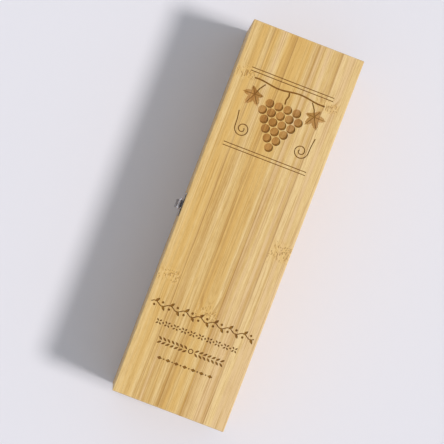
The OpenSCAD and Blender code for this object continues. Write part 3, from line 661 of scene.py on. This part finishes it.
def metal_finish(name, tint, roughness, scratch, painted_shade=0.0):
    """Plated or bright steel: fine hairlines and soft clouds in its gloss, a slight waviness, and a few
    pits. The last argument is how much painted shade darkens the metal close to the wall behind it,
    standing for the shade that falls between the parts there."""
    material = bpy.data.materials.new(name)
    material.use_nodes = True
    tree = material.node_tree
    shader = tree.nodes["Principled BSDF"].inputs
    seen = tree.nodes.new("ShaderNodeTexCoord").outputs["Object"]
    place = put(tree, "SeparateXYZ", seen).outputs
    cloud = cloudy(tree, seen, GLOSS_WAVES, 2.0)
    drawn_out = vector(tree, product(tree, place["X"], HAIR_STRETCH), place["Y"], place["Z"])
    hairs = cloudy(tree, drawn_out, HAIR_WAVES, 2.0)
    rough = plus(tree, roughness, around(tree, cloud), CLOUD_GLOSS)
    rough = plus(tree, rough, around(tree, hairs), scratch)
    darker = tuple(CLOUD_DARKER * value for value in tint[:3]) + (1.0,)
    colour = blend(tree, ease(tree, cloud, *CLOUD_EDGE), tint, darker)
    pits = put(tree, "TexVoronoi", seen, PIT_CELLS).outputs["Distance"]
    colour = blend(tree, fade(tree, pits, *PIT_SIZE, PIT_DARK), colour, PIT)
    # Painted shade: the metal turns near black close to the wall, where shade falls between the latch's
    # parts.
    if painted_shade:
        proud = sums(tree, "SUBTRACT", sums(tree, "ABSOLUTE", place["Y"]), back)
        proud = plus(tree, proud, around(tree, cloudy(tree, seen, PAINTED_SHADE_WAVES)), PAINTED_SHADE_SWAY)
        colour = blend(tree, fade(tree, proud, *PAINTED_SHADE_WITHIN, painted_shade), colour, PAINTED_SHADE)
    bump = put(tree, "Bump")
    bump.inputs["Strength"].default_value = METAL_BUMP
    bump.inputs["Distance"].default_value = METAL_BUMP_HEIGHT
    tree.links.new(plus(tree, cloud, hairs, HAIR_PROUD), bump.inputs["Height"])
    tree.links.new(colour, shader["Base Color"])
    tree.links.new(rough, shader["Roughness"])
    tree.links.new(bump.outputs["Normal"], shader["Normal"])
    shader["Metallic"].default_value = 1.0
    return material


satin = metal_finish("satin_nickel", srgb(204, 198, 199), 0.26, 0.12)
steel = metal_finish("bright_steel", srgb(186, 185, 188), 0.24, 0.2)
ROUNDING = 0.1 * mm
SMALL_ROUNDING = 0.05 * mm
MERGE_WITHIN = 0.001 * mm
FLAT_WITHIN = math.radians(1)
SHARP_OVER = math.radians(35)
bodies = frame["record"]["behaviour"]["bodies"]
body_of = {name: body for body, names in bodies.items() for name in names}


def rounded_node(name, finish, rounding=ROUNDING):
    """Stands for a carried-over node: its mesh with the doubles merged and every sharp edge rounded, so
    that the rim catches the light as that of pressed sheet or turned wire does."""
    shape = bmesh.new()
    shape.from_mesh(node[name].data)
    bmesh.ops.remove_doubles(shape, verts=shape.verts, dist=MERGE_WITHIN)
    bmesh.ops.dissolve_limit(shape, angle_limit=FLAT_WITHIN, verts=shape.verts, edges=shape.edges)
    mesh = bpy.data.meshes.new(name + "_rounded")
    shape.to_mesh(mesh)
    shape.free()
    mesh.shade_smooth()
    mesh.materials.append(finish)
    piece = bpy.data.objects.new(name + "_rounded", mesh)
    bpy.context.scene.collection.objects.link(piece)
    bevel = piece.modifiers.new("rounding", "BEVEL")
    bevel.width = rounding
    bevel.segments = 2
    bevel.limit_method = "ANGLE"
    bevel.angle_limit = SHARP_OVER
    bevel.harden_normals = True
    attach(piece, body_of[name])
    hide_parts(name)


for side in ("left", "right"):
    rounded_node(side + "_hinge_body_leaf", satin)
    rounded_node(side + "_hinge_lid_leaf", satin)
    rounded_node(side + "_hinge_pin", steel)
for name in ("hinge_body_screws", "hinge_lid_screws"):
    rounded_node(name, steel, SMALL_ROUNDING)

# Latch.
# A small toggle latch of nickel plated pressed steel. The base plate on the body carries a lever, the
# lever carries a wire bail, and the bail hooks over the catch of the strike plate on the lid.

# The latch's plates get painted shade close to the wall.
nickel = metal_finish("nickel_plate", srgb(204, 197, 198), 0.13, 0.08, painted_shade=0.9)
wire = metal_finish("nickel_wire", srgb(210, 205, 207), 0.14, 0.06)
for name in ("latch_base", "latch_lever", "strike_plate"):
    rounded_node(name, nickel)
rounded_node("latch_bail", wire, SMALL_ROUNDING)
for name in ("lever_pin", "latch_base_screws", "strike_screws"):
    rounded_node(name, steel, SMALL_ROUNDING)

# Floor, light and camera.
# A plain pale floor, a soft lamp high on the hinge side, an even sky, and a white card that only shows
# in reflections. The camera looks almost straight down, and the box lies turned as in the photograph.

FLOOR_SIZE = 8.0
FLOOR_COLOUR = srgb(225, 223, 230)
FLOOR_ROUGHNESS = 0.9
half = FLOOR_SIZE / 2
floor_mesh = bpy.data.meshes.new("floor")
corners = [(-half, -half, 0), (half, -half, 0), (half, half, 0), (-half, half, 0)]
floor_mesh.from_pydata(corners, [], [(0, 1, 2, 3)])
floor = bpy.data.objects.new("floor", floor_mesh)
bpy.context.scene.collection.objects.link(floor)
floor_paint = bpy.data.materials.new("floor_paint")
floor_paint.use_nodes = True
floor_shader = floor_paint.node_tree.nodes["Principled BSDF"].inputs
floor_shader["Base Color"].default_value = FLOOR_COLOUR
floor_shader["Roughness"].default_value = FLOOR_ROUGHNESS
floor_mesh.materials.append(floor_paint)

LAMP_HEIGHT = math.radians(54.2)
LAMP_WIDTH = math.radians(11.0)
LAMP_STRENGTH = 2.23
LAMP_COLOUR = (1.0, 0.974, 0.953)
lamp = bpy.data.lights.new("key_lamp", "SUN")
lamp.energy = LAMP_STRENGTH
lamp.color = LAMP_COLOUR
lamp.angle = LAMP_WIDTH
lamp_object = bpy.data.objects.new("key_lamp", lamp)
lamp_object.rotation_euler = (-(math.pi / 2 - LAMP_HEIGHT), 0.0, 0.0)
bpy.context.scene.collection.objects.link(lamp_object)

# The sky lights the object with SKY_LOW at the horizon and more overhead. The camera, metal and glass
# see it otherwise: SKY_SHOWN at the horizon and less overhead, like a dark ceiling.
SKY_COLOUR = (0.985, 1.045, 1.095, 1.0)
SKY_LOW = 0.172
SKY_RISE = 0.45
SKY_SHOWN = 0.85
SKY_SHOWN_FALL = 0.8
CARD_SHOWN = 3.0
CARD_CORE = math.radians(14.0)
CARD_RIM = math.radians(26.0)
TOWARD_CARD = Vector((-0.5, -0.6, 0.7)).normalized()
world = bpy.data.worlds.new("studio")
bpy.context.scene.world = world
world.use_nodes = True
sky = world.node_tree
sky_light = sky.nodes["Background"].inputs
sky_light["Color"].default_value = SKY_COLOUR
rays = sky.nodes.new("ShaderNodeLightPath").outputs
shown = sums(sky, "MAXIMUM", rays["Is Glossy Ray"], rays["Is Transmission Ray"])
shown = sums(sky, "MAXIMUM", rays["Is Camera Ray"], shown)
direction = sky.nodes.new("ShaderNodeTexCoord").outputs["Generated"]
height = sums(sky, "MAXIMUM", put(sky, "SeparateXYZ", direction).outputs["Z"], 0.0)
sky_lit = plus(sky, SKY_LOW, height, SKY_RISE)
sky_seen = sums(sky, "SUBTRACT", plus(sky, SKY_SHOWN, height, -SKY_SHOWN_FALL), sky_lit)
near_card = put(sky, "VectorMath", direction, TOWARD_CARD, operation="DOT_PRODUCT").outputs["Value"]
card = ease(sky, near_card, math.cos(CARD_RIM), math.cos(CARD_CORE), 0.0, CARD_SHOWN)
sky_all = plus(sky, sky_lit, shown, sky_seen)
sky.links.new(plus(sky, sky_all, rays["Is Glossy Ray"], card), sky_light["Strength"])

CAMERA_PLACE = Vector((0.06206, -0.08907, 1.89571))
CAMERA_RIGHT = Vector((-0.35668, 0.93288, 0.05022))
CAMERA_UP = Vector((-0.93365, -0.35784, 0.01607))
CAMERA_BACK = Vector((0.03296, -0.04116, 0.99861))
CAMERA_FIELD = math.radians(12.573)
camera = bpy.data.cameras.new("camera")
camera.angle = CAMERA_FIELD
camera_object = bpy.data.objects.new("camera", camera)
axes = Matrix((CAMERA_RIGHT, CAMERA_UP, CAMERA_BACK)).transposed()
camera_object.matrix_world = Matrix.Translation(CAMERA_PLACE) @ axes.to_4x4()
bpy.context.scene.collection.objects.link(camera_object)
bpy.context.scene.camera = camera_object
bpy.context.scene.view_settings.view_transform = "Standard"
